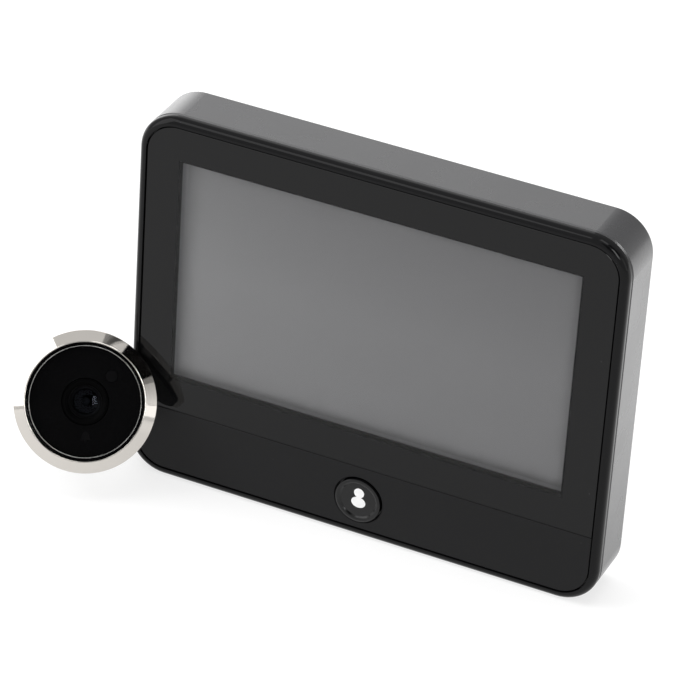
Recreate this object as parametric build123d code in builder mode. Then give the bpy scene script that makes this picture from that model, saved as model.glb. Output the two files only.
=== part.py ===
from build123d import *
import os
from math import cos, hypot, radians, sin, sqrt

# Door viewer: an indoor monitor standing on its underside, and the outdoor camera unit
# leaning on the monitor's front at its left.
# Millimetres. Origin at the centre of the monitor's underside, +X to the monitor's right,
# +Y from the screen towards the door, +Z up.
# A depth on the monitor is measured from the front of its frame towards the door.

os.makedirs("parts", exist_ok=True)

# Monitor body
monitor_width = 118.8
monitor_height = 95.2
monitor_depth = 15.0
corner_radius = 9.5
rim_width = 1.95
rim_lip = 0.15
back_round = 0.6
wall = 1.6
seam_depth = 2.75
seam_bevel = 0.35
seam_groove_width = 0.45
seam_groove_depth = 0.4
spigot_thickness = 1.0
spigot_length = 1.5
frame_floor = 1.3
fit_gap = 0.1

# Front panels
panel_setback = 0.2
panel_thickness = 1.1
panel_gap = 0.3
panel_edge = 0.1
split_gap = 0.12
chin_height = 18.7
border_left = 10.9
border_right = 10.9
border_top = 11.0
border_bottom = 9.1
window_ledge = 1.2
window_round = 0.8

# Display module and the board behind it
display_edge_left = 4.35
display_edge_right = 4.15
display_edge_top = 5.4
display_edge_bottom = 5.4
cell_thickness = 1.2
backlight_thickness = 1.8
gasket_thickness = 0.6
gasket_width = 2.6
display_to_board = 0.8
board_thickness = 1.0
board_side_margin = 7.35
board_bottom_margin = 6.0
board_top_margin = 7.1
board_tongue = 4.3
board_tongue_margin = 5.0

# Wake button in the chin
button_x = 0.0
button_z = 9.85
button_radius = 5.6
button_gap = 0.3
button_proud = 0.3
button_lip = 0.95
button_lip_drop = 0.14
button_dish = 0.45
button_dish_slope = 0.35
button_hole_edge = 0.25
button_travel = 0.5
button_flange_step = 0.9
button_flange_thickness = 0.8
button_stem_radius = 1.3
button_stem_length = 0.3

# Power key in the left side
key_height = 8.0
key_width = 3.0
key_gap = 0.25
key_proud = 0.4
key_flange_step = 0.8
key_flange_thickness = 0.8
key_travel = 0.4
key_drop = 27.1

# Switches behind the keys
switch_size = 6.0
switch_height = 3.0
plunger_radius = 1.6
plunger_gap = 0.25
side_switch_depth = 3.4
side_switch_height = 3.4
side_switch_width = 5.0
side_plunger_width = 2.0

# Sockets on the left side
usb_width = 7.5
usb_height = 2.6
usb_length = 7.0
usb_wall = 0.35
usb_drop = 18.0
card_width = 12.0
card_height = 1.8
card_length = 14.0
card_slot_height = 1.2
card_drop = 16.0
socket_gap = 0.3

# Battery, speaker and microphone
battery_board_gap = 1.2
battery_side_margin = 2.75
battery_recess_margin = 1.1
battery_foot_margin = 5.0
battery_head_margin = 3.0
battery_side_flat = 1.0
speaker_radius = 7.5
speaker_thickness = 3.6
speaker_inset = 18.35
speaker_z = 22.0
grille_slots = 5
grille_pitch = 2.4
grille_width = 1.1
grille_length = 10.0
mic_radius = 2.0
mic_height = 1.6
mic_hole_radius = 0.6
mic_x = 24.0
mic_back_gap = 0.4

# Case screws and board screws
case_screw_inset = 4.05
case_screw_low = 10.0
case_screw_drop = 11.1
case_boss_radius = 2.1
case_boss_depth = 9.0
shell_boss_radius = 3.0
screw_radius = 0.9
screw_head_radius = 1.75
screw_head_height = 1.2
screw_seat = 1.8
screw_bite = 5.0
head_gap = 0.3
board_post_radius = 2.3
board_post_inset = 6.0
board_post_right = 22.0
board_post_low = 11.0
board_post_drop = 13.1
board_screw_head = 0.55
board_screw_length = 4.0

# Bracket screwed to the door, and the recess that it sits in
bracket_width = 50.0
bracket_height = 58.0
bracket_thickness = 1.2
bracket_corner = 3.0
bracket_raise = 2.4
bracket_gap = 0.3
bracket_proud = 0.1
bracket_travel = 6.0
recess_wall = 1.5
cable_hole_radius = 9.0
door_screw_spacing = 38.0
door_screw_slot = 8.0
door_screw_radius = 1.75
hook_width = 6.0
hook_rise = 3.5
hook_x = 19.5
hook_pitch = 36.0
hook_bend = 0.8

# Cable well behind the bracket's round hole
well_width = 30.0
well_height = 20.0
well_floor = 1.1
well_corner = 2.5
cable_socket_width = 9.0
cable_socket_height = 4.4
cable_socket_wall = 0.7
cable_socket_length = 4.0
cable_socket_x = -7.0

# Outdoor camera unit, measured along its own axis from the plane of its rim
unit_azimuth = 23.5
unit_elevation = 31.0
unit_side_reach = 5.4
unit_gap = 0.3
unit_stand_gap = 0.05
rim_radius = 16.6
bezel_inner_radius = 13.7
bezel_height = 2.0
bezel_inner_round = 0.25
bezel_outer_round = 0.2
bezel_skirt = 1.4
bezel_draft = 0.15
bezel_rear_round = 0.25
bezel_seat_radius = 14.85
face_ring_seat = 0.45
face_ring_flange = 0.3
face_ring_lip = 0.2
face_ring_drop = 0.1
push_edge_gap = 0.25
push_radius = 12.85
push_front = 0.75
push_thickness = 0.85
push_flange_step = 0.6
push_flange_thickness = 0.3
push_travel = 0.4
push_dish = 0.12
push_clearance = 0.3
trim_width = 0.2
trim_height = 0.5
housing_floor = 0.6
gasket_pad = 0.7
gasket_pad_radius = 15.2
barrel_radius = 7.0
barrel_wall = 0.85
barrel_length = 31.9
barrel_chamfer = 0.5
shank_radius = 6.75
shank_length = 15.1
neck_length = 5.0
lens_barrel_radius = 5.25
lens_barrel_front = 0.55
lens_barrel_length = 8.95
lens_bore = 3.85
lens_seat = 2.6
lens_rear_radius = 3.1
lens_rear_depth = 3.0
lens_edge = 0.7
lens_dome = 0.75
retainer_width = 0.8
retainer_height = 0.6
sensor_lens_radius = 1.45
sensor_lens_x = 5.7
sensor_lens_y = 6.25
camera_board_thickness = 1.0
image_sensor_size = 5.0
image_sensor_height = 0.7
bell_switch_radius = 1.8
bell_switch_height = 0.2
bell_switch_y = -9.0
light_sensor_size = 2.0
grommet_length = 4.0
grommet_hole = 1.6

# Places that follow from the sizes
front_y = -monitor_depth / 2
middle_z = monitor_height / 2
panel_back = panel_setback + panel_thickness
frame_floor_back = panel_back + frame_floor
cell_front = frame_floor_back + gasket_thickness
backlight_front = cell_front + cell_thickness
display_back = backlight_front + backlight_thickness
board_front = display_back + display_to_board
board_back = board_front + board_thickness
inner_back = monitor_depth - wall
recess_depth = bracket_thickness + bracket_gap - bracket_proud
recess_face = monitor_depth - recess_depth
recess_inner = recess_face - recess_wall
well_bottom = board_back + fit_gap + well_floor
inner_left = -monitor_width / 2 + wall
window_width = monitor_width - border_left - border_right
window_height = monitor_height - border_top - chin_height - border_bottom
window_x = (border_left - border_right) / 2
window_z = chin_height + border_bottom + window_height / 2
display_width = window_width + display_edge_left + display_edge_right
display_height = window_height + display_edge_top + display_edge_bottom
display_x = window_x + (display_edge_right - display_edge_left) / 2
display_z = window_z + (display_edge_top - display_edge_bottom) / 2
board_left = -monitor_width / 2 + board_side_margin
board_width = monitor_width - 2 * board_side_margin
board_top = monitor_height - board_top_margin
bracket_z = middle_z + bracket_raise
key_z = monitor_height - key_drop
usb_z = key_z - usb_drop
card_z = usb_z - card_drop
tongue_top = usb_z + usb_width / 2 + board_tongue_margin
tongue_bottom = card_z - card_width / 2 - board_tongue_margin
recess_width = bracket_width + 2 * bracket_gap
recess_height = bracket_height + 2 * bracket_gap + bracket_travel
battery_left = recess_width / 2 + wall + battery_recess_margin
battery_right = -inner_left - battery_side_margin
battery_bottom = case_screw_low + shell_boss_radius + battery_foot_margin
battery_top = monitor_height - case_screw_drop - shell_boss_radius - battery_head_margin
battery_thickness = inner_back - board_back - battery_board_gap
speaker_x = speaker_inset - monitor_width / 2
mic_depth = inner_back - mic_back_gap - mic_radius


# A plane that looks out of the screen, at a given depth behind the front of the frame
def at_depth(depth):
    return Plane.XZ.offset(-front_y - depth)


# The monitor's rounded outline, drawn in from its sides by an inset
def body_outline(inset, mode=Mode.ADD):
    with Locations((0, middle_z)):
        RectangleRounded(
            monitor_width - 2 * inset,
            monitor_height - 2 * inset,
            corner_radius - inset,
            mode=mode,
        )


# One flat slab of a given rounded outline between two depths, added or cut
def slab(width, height, radius, x, z, front, back, mode=Mode.ADD):
    with BuildSketch(at_depth(front)) as profile:
        with Locations((x, z)):
            RectangleRounded(width, height, radius)
    extrude(profile.sketch, amount=front - back, mode=mode)


# A round rod or hole along Y between two depths
def rod(radius, places, front, back, mode=Mode.ADD):
    with BuildSketch(at_depth(front)) as profile:
        with Locations(*places):
            Circle(radius)
    extrude(profile.sketch, amount=front - back, mode=mode)


case_screw_places = [
    (side * (monitor_width / 2 - case_screw_inset), z)
    for side in (-1, 1)
    for z in (case_screw_low, monitor_height - case_screw_drop)
]
board_screw_places = [
    (x, z)
    for x in (board_left + board_post_inset, board_post_right)
    for z in (board_post_low, monitor_height - board_post_drop)
]
button_place = [(button_x, button_z)]

# Front frame: beaded rim with a shadow groove at the seam, floor with the display window,
# spigot and four screw bosses
button_hole_radius = button_radius + button_gap
flange_radius = button_radius + button_flange_step
flange_hole_radius = flange_radius + button_gap

with BuildPart() as front_frame:
    with BuildSketch(at_depth(0)):
        body_outline(0)
    extrude(amount=-seam_depth)
    fillet(front_frame.faces().sort_by(Axis.Y)[0].edges(), radius=rim_width - rim_lip)
    with BuildSketch(at_depth(seam_depth - seam_groove_width)):
        body_outline(0)
        body_outline(seam_groove_depth, Mode.SUBTRACT)
    extrude(amount=-seam_groove_width, mode=Mode.SUBTRACT)
    with BuildSketch(at_depth(0)):
        body_outline(rim_width)
    extrude(amount=-panel_back, mode=Mode.SUBTRACT)
    with BuildSketch(at_depth(frame_floor_back)):
        body_outline(wall + fit_gap + spigot_thickness)
    extrude(amount=frame_floor_back - seam_depth, mode=Mode.SUBTRACT)
    with BuildSketch(at_depth(seam_depth)):
        body_outline(wall + fit_gap)
        body_outline(wall + fit_gap + spigot_thickness, Mode.SUBTRACT)
    extrude(amount=-spigot_length)
    rod(case_boss_radius, case_screw_places, frame_floor_back, case_boss_depth)
    slab(
        window_width + 2 * window_ledge,
        window_height + 2 * window_ledge,
        window_round,
        window_x,
        window_z,
        panel_back,
        frame_floor_back,
        Mode.SUBTRACT,
    )
    rod(flange_hole_radius, button_place, panel_back, frame_floor_back, Mode.SUBTRACT)
    rod(
        screw_radius,
        case_screw_places,
        case_boss_depth - screw_bite,
        case_boss_depth,
        Mode.SUBTRACT,
    )

# Glass and chin share the frame's rounded pocket and part along one straight line
with BuildPart() as glass_panel:
    with BuildSketch(at_depth(panel_setback)):
        body_outline(rim_width + panel_gap)
        with Locations((0, chin_height + split_gap / 2)):
            Rectangle(
                monitor_width,
                monitor_height,
                align=(Align.CENTER, Align.MAX),
                mode=Mode.SUBTRACT,
            )
    extrude(amount=-panel_thickness)
    chamfer(glass_panel.faces().sort_by(Axis.Y)[0].edges(), length=panel_edge)

with BuildPart() as chin_panel:
    with BuildSketch(at_depth(panel_setback)):
        body_outline(rim_width + panel_gap)
        with Locations((0, chin_height - split_gap / 2)):
            Rectangle(
                monitor_width,
                monitor_height,
                align=(Align.CENTER, Align.MIN),
                mode=Mode.SUBTRACT,
            )
        with Locations((button_x, button_z)):
            Circle(button_hole_radius, mode=Mode.SUBTRACT)
    extrude(amount=-panel_thickness)
    chin_face = chin_panel.faces().sort_by(Axis.Y)[0]
    chamfer(chin_face.inner_wires()[0].edges(), length=button_hole_edge)
    chin_face = chin_panel.faces().sort_by(Axis.Y)[0]
    chamfer(chin_face.outer_wire().edges(), length=panel_edge)

# Display module: foam seal, glass cell and backlight, stacked behind the window
with BuildPart() as display_gasket:
    seal_width = window_width + 2 * window_ledge
    seal_height = window_height + 2 * window_ledge
    with BuildSketch(at_depth(frame_floor_back)):
        with Locations((window_x, window_z)):
            Rectangle(seal_width + 2 * gasket_width, seal_height + 2 * gasket_width)
            Rectangle(seal_width, seal_height, mode=Mode.SUBTRACT)
    extrude(amount=-gasket_thickness)

with BuildPart() as display_cell:
    with BuildSketch(at_depth(cell_front)):
        with Locations((display_x, display_z)):
            Rectangle(display_width, display_height)
    extrude(amount=-cell_thickness)

with BuildPart() as display_backlight:
    with BuildSketch(at_depth(backlight_front)):
        with Locations((display_x, display_z)):
            Rectangle(display_width, display_height)
    extrude(amount=-backlight_thickness)
    chamfer(
        display_backlight.faces().sort_by(Axis.Y)[-1].edges(),
        length=backlight_thickness / 4,
    )

# Wake button: dished cap with a raised lip, a flange caught behind the chin, and a stem
cap_front = -button_proud
flange_front = panel_back + button_gap
stem_front = flange_front + button_flange_thickness
stem_back = stem_front + button_stem_length
# The profile's plane has its X outwards from the button's axis and its Y along +Y
button_profile_plane = Plane(
    origin=(button_x, front_y, button_z), x_dir=(1, 0, 0), z_dir=(0, 0, 1)
)

with BuildPart() as wake_button:
    with BuildSketch(button_profile_plane):
        with BuildLine():
            dish_edge = button_radius - button_lip
            lip_middle = button_radius - button_lip / 2
            lip_foot = cap_front + button_lip_drop
            Polyline(
                (0, cap_front + button_dish),
                (dish_edge - button_dish_slope, cap_front + button_dish),
                (dish_edge, lip_foot),
            )
            ThreePointArc(
                (dish_edge, lip_foot),
                (lip_middle, cap_front),
                (button_radius, lip_foot),
            )
            Polyline(
                (button_radius, lip_foot),
                (button_radius, flange_front),
                (flange_radius, flange_front),
                (flange_radius, stem_front),
                (button_stem_radius, stem_front),
                (button_stem_radius, stem_back),
                (0, stem_back),
                (0, cap_front + button_dish),
            )
        make_face()
    revolve(axis=Axis((button_x, 0, button_z), (0, 1, 0)))

# Rear shell: hollow tray with the bracket's recess, cable well, bosses, grille and ports
left_face_plane = Plane(
    origin=(-monitor_width / 2, 0, 0), x_dir=(0, -1, 0), z_dir=(-1, 0, 0)
)
usb_centre = board_back + usb_height / 2
card_centre = board_back + card_height / 2
key_centre = board_back + side_switch_height / 2
recess_z = bracket_z - bracket_travel / 2
recess_corner = bracket_corner + bracket_gap
hook_places = [
    (side * hook_x, bracket_z + level * hook_pitch / 2)
    for side in (-1, 1)
    for level in (-1, 1)
]
slot_rise = bracket_gap + bracket_thickness / 2
slot_drop = bracket_travel + bracket_gap + bracket_thickness / 2
shell_boss_front = case_boss_depth + fit_gap
screw_seat_depth = shell_boss_front + screw_seat


# A hole through the left side wall, at a depth and height, of a given size
def side_port(depth, z, width, height, radius, reach=wall):
    with BuildSketch(left_face_plane) as profile:
        with Locations((monitor_depth / 2 - depth, z)):
            RectangleRounded(width, height, radius)
    extrude(profile.sketch, amount=-reach, mode=Mode.SUBTRACT)


with BuildPart() as rear_shell:
    with BuildSketch(at_depth(seam_depth)):
        body_outline(0)
    extrude(amount=seam_depth - monitor_depth)
    fillet(rear_shell.faces().sort_by(Axis.Y)[-1].edges(), radius=back_round)
    chamfer(rear_shell.faces().sort_by(Axis.Y)[0].edges(), length=seam_bevel)
    with BuildSketch(at_depth(seam_depth)):
        body_outline(wall)
    extrude(amount=seam_depth - inner_back, mode=Mode.SUBTRACT)
    slab(
        recess_width + 2 * wall,
        recess_height + 2 * wall,
        recess_corner + wall,
        0,
        recess_z,
        recess_inner,
        inner_back,
    )
    slab(
        well_width + 2 * well_floor,
        well_height + 2 * well_floor,
        well_corner + well_floor,
        0,
        bracket_z,
        board_back + fit_gap,
        inner_back,
    )
    with BuildSketch(at_depth(shell_boss_front)):
        with Locations(*case_screw_places):
            Circle(shell_boss_radius)
        body_outline(wall, Mode.INTERSECT)
    extrude(amount=shell_boss_front - inner_back)
    rod(board_post_radius, board_screw_places, board_back, inner_back)
    slab(
        recess_width,
        recess_height,
        recess_corner,
        0,
        recess_z,
        recess_face,
        monitor_depth,
        Mode.SUBTRACT,
    )
    slab(
        well_width,
        well_height,
        well_corner,
        0,
        bracket_z,
        well_bottom,
        recess_face,
        Mode.SUBTRACT,
    )
    slab(
        cable_socket_width + 2 * socket_gap,
        cable_socket_height + 2 * socket_gap,
        socket_gap,
        cable_socket_x,
        bracket_z,
        board_back,
        well_bottom,
        Mode.SUBTRACT,
    )
    with BuildSketch(at_depth(recess_inner)):
        with Locations(*hook_places):
            with Locations((0, (slot_rise - slot_drop) / 2)):
                Rectangle(hook_width + 2 * bracket_gap, slot_rise + slot_drop)
    extrude(amount=recess_inner - recess_face, mode=Mode.SUBTRACT)
    rod(screw_radius + fit_gap, case_screw_places, shell_boss_front, monitor_depth, Mode.SUBTRACT)
    rod(
        screw_head_radius + head_gap,
        case_screw_places,
        screw_seat_depth,
        monitor_depth,
        Mode.SUBTRACT,
    )
    rod(
        screw_radius,
        board_screw_places,
        board_back,
        board_back + board_screw_length,
        Mode.SUBTRACT,
    )
    with BuildSketch(at_depth(inner_back)):
        with Locations((speaker_x, speaker_z)):
            with GridLocations(0, grille_pitch, 1, grille_slots):
                SlotOverall(grille_length, grille_width)
    extrude(amount=-wall, mode=Mode.SUBTRACT)
    side_port(
        usb_centre,
        usb_z,
        usb_height + 2 * socket_gap,
        usb_width + 2 * socket_gap,
        usb_wall,
    )
    side_port(card_centre, card_z, card_slot_height, card_width - 2 * socket_gap, socket_gap)
    side_port(
        key_centre,
        key_z,
        key_width + 2 * key_gap,
        key_height + 2 * key_gap,
        key_width / 2 + key_gap - fit_gap,
    )
    with BuildSketch(Plane.XY):
        with Locations((mic_x, front_y + mic_depth)):
            Circle(mic_hole_radius)
    extrude(amount=wall, mode=Mode.SUBTRACT)

# Main board with its tongue towards the sockets in the left side
with BuildPart() as main_board:
    with BuildSketch(at_depth(board_front)):
        with Locations((0, board_bottom_margin)):
            Rectangle(
                board_width,
                board_top - board_bottom_margin,
                align=(Align.CENTER, Align.MIN),
            )
        with Locations((board_left, tongue_bottom)):
            Rectangle(
                board_tongue,
                tongue_top - tongue_bottom,
                align=(Align.MAX, Align.MIN),
            )
        with Locations(*board_screw_places):
            Circle(screw_radius + fit_gap, mode=Mode.SUBTRACT)
    extrude(amount=-board_thickness)

with BuildPart() as board_screws:
    rod(screw_head_radius, board_screw_places, board_front - board_screw_head, board_front)
    rod(
        screw_radius,
        board_screw_places,
        board_front,
        board_front + board_thickness + board_screw_length,
    )

with BuildPart() as housing_screws:
    rod(
        screw_head_radius,
        case_screw_places,
        screw_seat_depth,
        screw_seat_depth + screw_head_height,
    )
    rod(
        screw_radius,
        case_screw_places,
        case_boss_depth - screw_bite,
        screw_seat_depth,
    )

# Battery pack taped to the back wall, beside the bracket's recess
with BuildPart() as battery_pack:
    with BuildSketch(at_depth(inner_back - battery_thickness)):
        with Locations((battery_left, battery_bottom)):
            Rectangle(
                battery_right - battery_left,
                battery_top - battery_bottom,
                align=(Align.MIN, Align.MIN),
            )
    extrude(amount=-battery_thickness)
    fillet(
        battery_pack.edges().filter_by(Axis.Z),
        radius=(battery_thickness - battery_side_flat) / 2,
    )

# Speaker behind the grille: basket with a narrower magnet
with BuildPart() as speaker:
    rod(
        speaker_radius,
        [(speaker_x, speaker_z)],
        inner_back - speaker_thickness / 2,
        inner_back,
    )
    rod(
        speaker_radius / 2,
        [(speaker_x, speaker_z)],
        inner_back - speaker_thickness,
        inner_back - speaker_thickness / 2,
    )

with BuildPart() as microphone:
    with BuildSketch(Plane.XY.offset(wall)):
        with Locations((mic_x, front_y + mic_depth)):
            Circle(mic_radius)
    extrude(amount=mic_height)

# Switch on the board's front, under the wake button, with its plunger
plunger_front = stem_back + button_travel + plunger_gap
with BuildPart() as wake_switch:
    slab(
        switch_size,
        switch_size,
        button_gap,
        button_x,
        button_z,
        board_front - switch_height,
        board_front,
    )
    rod(plunger_radius, button_place, plunger_front, board_front - switch_height)

# Switch on the board's back, beside the power key
key_inner_face = inner_left + key_gap + key_flange_thickness
side_plunger_tip = key_inner_face + key_travel + plunger_gap
with BuildPart() as side_switch:
    with BuildSketch(at_depth(board_back)):
        with Locations((side_plunger_tip + plunger_gap, key_z)):
            Rectangle(
                side_switch_depth,
                side_switch_width,
                align=(Align.MIN, Align.CENTER),
            )
    extrude(amount=-side_switch_height)
    with BuildSketch(at_depth(board_back + side_switch_height / 4)):
        with Locations((side_plunger_tip, key_z)):
            Rectangle(
                plunger_gap,
                side_plunger_width,
                align=(Align.MIN, Align.CENTER),
            )
    extrude(amount=-side_switch_height / 2)

# Power key: rounded cap through the left wall and a flange behind it
with BuildPart() as power_key:
    with BuildSketch(left_face_plane.offset(key_proud)):
        with Locations((monitor_depth / 2 - key_centre, key_z)):
            RectangleRounded(key_width, key_height, key_width / 2 - fit_gap)
    extrude(amount=-key_proud - wall - key_gap)
    fillet(power_key.faces().sort_by(Axis.X)[0].edges(), radius=key_proud / 2)
    with BuildSketch(left_face_plane.offset(-wall - key_gap)):
        with Locations((monitor_depth / 2 - key_centre, key_z)):
            Rectangle(key_width, key_height + 2 * key_flange_step)
    extrude(amount=-key_flange_thickness)

# Sockets: a metal USB shell, a flat card holder and the camera cable's connector
usb_mouth = -monitor_width / 2 + wall / 2
with BuildPart() as usb_socket:
    with BuildSketch(Plane.YZ.offset(usb_mouth)):
        with Locations((front_y + usb_centre, usb_z)):
            RectangleRounded(usb_height, usb_width, 2 * usb_wall)
    extrude(amount=usb_length)
    with BuildSketch(Plane.YZ.offset(usb_mouth)):
        with Locations((front_y + usb_centre, usb_z)):
            RectangleRounded(usb_height - 2 * usb_wall, usb_width - 2 * usb_wall, usb_wall)
            Rectangle(usb_height / 4, usb_width - 4 * usb_wall, mode=Mode.SUBTRACT)
    extrude(amount=usb_length - 2 * usb_wall, mode=Mode.SUBTRACT)

with BuildPart() as card_socket:
    with BuildSketch(Plane.YZ.offset(inner_left + fit_gap)):
        with Locations((front_y + card_centre, card_z)):
            Rectangle(card_height, card_width)
    extrude(amount=card_length)
    with BuildSketch(Plane.YZ.offset(inner_left + fit_gap)):
        with Locations((front_y + card_centre, card_z)):
            Rectangle(card_slot_height, card_width - 2 * socket_gap)
    extrude(amount=card_length - wall, mode=Mode.SUBTRACT)

with BuildPart() as camera_socket:
    slab(
        cable_socket_width,
        cable_socket_height,
        socket_gap,
        cable_socket_x,
        bracket_z,
        board_back,
        board_back + cable_socket_length,
    )
    slab(
        cable_socket_width - 2 * cable_socket_wall,
        cable_socket_height - 2 * cable_socket_wall,
        socket_gap,
        cable_socket_x,
        bracket_z,
        well_bottom,
        board_back + cable_socket_length,
        Mode.SUBTRACT,
    )

# Bracket: steel plate with a round cable hole, two slots for the door's screws and
# four hooks that pass through the shell's recess and turn up behind it
bracket_back = monitor_depth + bracket_proud
bracket_front = bracket_back - bracket_thickness
hook_inner = recess_inner - bracket_gap
hook_tip = hook_inner - bracket_thickness

with BuildPart() as mount_bracket:
    slab(
        bracket_width,
        bracket_height,
        bracket_corner,
        0,
        bracket_z,
        bracket_front,
        bracket_back,
    )
    with BuildSketch(at_depth(bracket_front)):
        with Locations((0, bracket_z)):
            Circle(cable_hole_radius)
            with GridLocations(door_screw_spacing, 0, 2, 1):
                SlotOverall(door_screw_slot, 2 * door_screw_radius)
    extrude(amount=-bracket_thickness, mode=Mode.SUBTRACT)
    with BuildSketch(at_depth(hook_tip)):
        with Locations(*hook_places):
            Rectangle(hook_width, bracket_thickness)
    extrude(amount=hook_tip - bracket_front)
    with BuildSketch(at_depth(hook_tip)):
        with Locations(*hook_places):
            with Locations((0, -bracket_thickness / 2)):
                Rectangle(
                    hook_width,
                    bracket_thickness + hook_rise,
                    align=(Align.CENTER, Align.MIN),
                )
    extrude(amount=-bracket_thickness)
    hook_corners = (
        mount_bracket.edges()
        .filter_by(Axis.X)
        .filter_by(lambda edge: abs(edge.center().Y - front_y - hook_tip) < fit_gap)
        .filter_by(lambda edge: edge.length < hook_width + fit_gap)
    )
    fillet(hook_corners, radius=hook_bend / 2)

# Camera unit's own plane: its axis looks out of the lens, its X is level
axis_x = sin(radians(unit_azimuth)) * cos(radians(unit_elevation))
axis_y = -cos(radians(unit_azimuth)) * cos(radians(unit_elevation))
axis_z = sin(radians(unit_elevation))
level_x = (cos(radians(unit_azimuth)), sin(radians(unit_azimuth)), 0)
push_back = push_front - push_thickness
tray_floor = push_back - push_travel - push_clearance
housing_back = tray_floor - housing_floor
pad_back = housing_back - gasket_pad
edge_slope = sqrt(1 - axis_y**2)
# How far the gasket's and the rim's rear edges reach towards the monitor's front
pad_reach = axis_y * pad_back + edge_slope * gasket_pad_radius
rim_reach = -axis_y * bezel_skirt + edge_slope * rim_radius
unit_x = -monitor_width / 2 - unit_side_reach
unit_y = front_y - unit_gap - max(pad_reach, rim_reach)
# The barrel stands on the edge in front of its end chamfer
stand_length = barrel_length - barrel_chamfer
unit_z = stand_length * axis_z + barrel_radius * hypot(axis_x, axis_y) + unit_stand_gap
unit_plane = Plane(
    origin=(unit_x, unit_y, unit_z),
    x_dir=level_x,
    z_dir=(axis_x, axis_y, axis_z),
)
# Section plane for the turned pieces: X outwards from the axis, Y along it
section_plane = Plane(
    origin=unit_plane.origin,
    x_dir=unit_plane.x_dir,
    z_dir=-unit_plane.y_dir,
)
unit_axis = Axis(unit_plane.origin, unit_plane.z_dir)

# Chrome bezel: a plain bevel that runs up from the rim to the dark face, its edges eased
face_ring_top = face_ring_seat + face_ring_flange

with BuildPart() as bezel_ring:
    with BuildSketch(section_plane):
        with BuildLine():
            Polyline(
                (rim_radius, 0),
                (rim_radius - bezel_draft, -bezel_skirt),
                (bezel_seat_radius, -bezel_skirt),
                (bezel_seat_radius, face_ring_top),
                (bezel_inner_radius, face_ring_top),
                (bezel_inner_radius, bezel_height),
                close=True,
            )
        make_face()
    revolve(axis=unit_axis)
    for edge_radius, easing in (
        (rim_radius - bezel_draft, bezel_rear_round),
        (rim_radius, bezel_outer_round),
    ):
        eased = (
            bezel_ring.edges()
            .filter_by(GeomType.CIRCLE)
            .filter_by(lambda edge: abs(edge.radius - edge_radius) < fit_gap / 2)
        )
        fillet(eased, radius=easing)
    inner_edge = bezel_ring.edges().filter_by(GeomType.CIRCLE).sort_by(unit_axis)[-1]
    fillet(inner_edge, radius=bezel_inner_round)

# Housing: round tray for the push with a neck that carries the lens and the barrel
neck_bore = lens_barrel_radius + fit_gap / 2
barrel_bore = barrel_radius - barrel_wall
neck_radius = barrel_bore - fit_gap / 2
housing_radius = bezel_seat_radius - fit_gap / 2
push_flange_radius = push_radius + push_flange_step
tray_radius = push_flange_radius + push_edge_gap

with BuildPart() as camera_housing:
    with BuildSketch(section_plane):
        with BuildLine():
            Polyline(
                (neck_bore, tray_floor),
                (tray_radius, tray_floor),
                (tray_radius, face_ring_seat),
                (housing_radius, face_ring_seat),
                (housing_radius, housing_back),
                (neck_radius, housing_back),
                (neck_radius, housing_back - neck_length),
                (neck_bore, housing_back - neck_length),
                close=True,
            )
        make_face()
    revolve(axis=unit_axis)

# Black ring between chrome and push: a funnel wall with a flange held under the bezel
funnel_radius = push_radius + trim_width + push_edge_gap
funnel_top = bezel_height - face_ring_drop
face_ring_outer = bezel_inner_radius - fit_gap / 2
with BuildPart() as face_ring:
    with BuildSketch(section_plane):
        with BuildLine():
            Polyline(
                (funnel_radius, face_ring_seat),
                (housing_radius, face_ring_seat),
                (housing_radius, face_ring_top),
                (face_ring_outer, face_ring_top),
                (face_ring_outer, funnel_top),
                (face_ring_outer - face_ring_lip, funnel_top),
                (funnel_radius, push_front),
                close=True,
            )
        make_face()
    revolve(axis=unit_axis)

# Bell push: dished black disc round the lens, with its bright edge trim
push_bore = lens_barrel_radius + push_edge_gap
trim_back = push_front - trim_height
with BuildPart() as bell_push:
    with BuildSketch(section_plane):
        with BuildLine():
            Polyline(
                (push_bore, push_front - push_dish),
                (push_radius, push_front),
                (push_radius, push_back + push_flange_thickness),
                (push_flange_radius, push_back + push_flange_thickness),
                (push_flange_radius, push_back),
                (push_bore, push_back),
                close=True,
            )
        make_face()
    revolve(axis=unit_axis)
    with BuildSketch(unit_plane.offset(push_back)):
        with Locations((sensor_lens_x, sensor_lens_y)):
            Circle(sensor_lens_radius + fit_gap / 2)
    extrude(amount=push_thickness, mode=Mode.SUBTRACT)

with BuildPart() as push_trim:
    with BuildSketch(section_plane):
        with Locations((push_radius + trim_width / 2, trim_back)):
            Rectangle(trim_width, trim_height, align=(Align.CENTER, Align.MIN))
    revolve(axis=unit_axis)

with BuildPart() as sensor_lens:
    with BuildSketch(unit_plane.offset(push_back)):
        with Locations((sensor_lens_x, sensor_lens_y)):
            Circle(sensor_lens_radius)
    extrude(amount=push_thickness - push_dish)
    chamfer(sensor_lens.faces().sort_by(unit_axis)[-1].edges(), length=push_dish)

# Barrel through the door: smooth shank, then the larger stretch that takes the thread.
# Its foam gasket and the grommet in its rear end follow.
with BuildPart() as threaded_barrel:
    with BuildSketch(section_plane):
        with BuildLine():
            Polyline(
                (barrel_bore, housing_back),
                (shank_radius, housing_back),
                (shank_radius, housing_back - shank_length),
                (barrel_radius, housing_back - shank_length),
                (barrel_radius, -stand_length),
                (barrel_radius - barrel_chamfer, -barrel_length),
                (barrel_bore, -barrel_length),
                close=True,
            )
        make_face()
    revolve(axis=unit_axis)

with BuildPart() as seal_gasket:
    with BuildSketch(unit_plane.offset(housing_back)):
        Circle(gasket_pad_radius)
        Circle(barrel_radius + fit_gap, mode=Mode.SUBTRACT)
    extrude(amount=-gasket_pad)

with BuildPart() as cable_grommet:
    with BuildSketch(unit_plane.offset(-barrel_length)):
        Circle(barrel_bore)
        Circle(grommet_hole, mode=Mode.SUBTRACT)
    extrude(amount=grommet_length)

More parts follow.
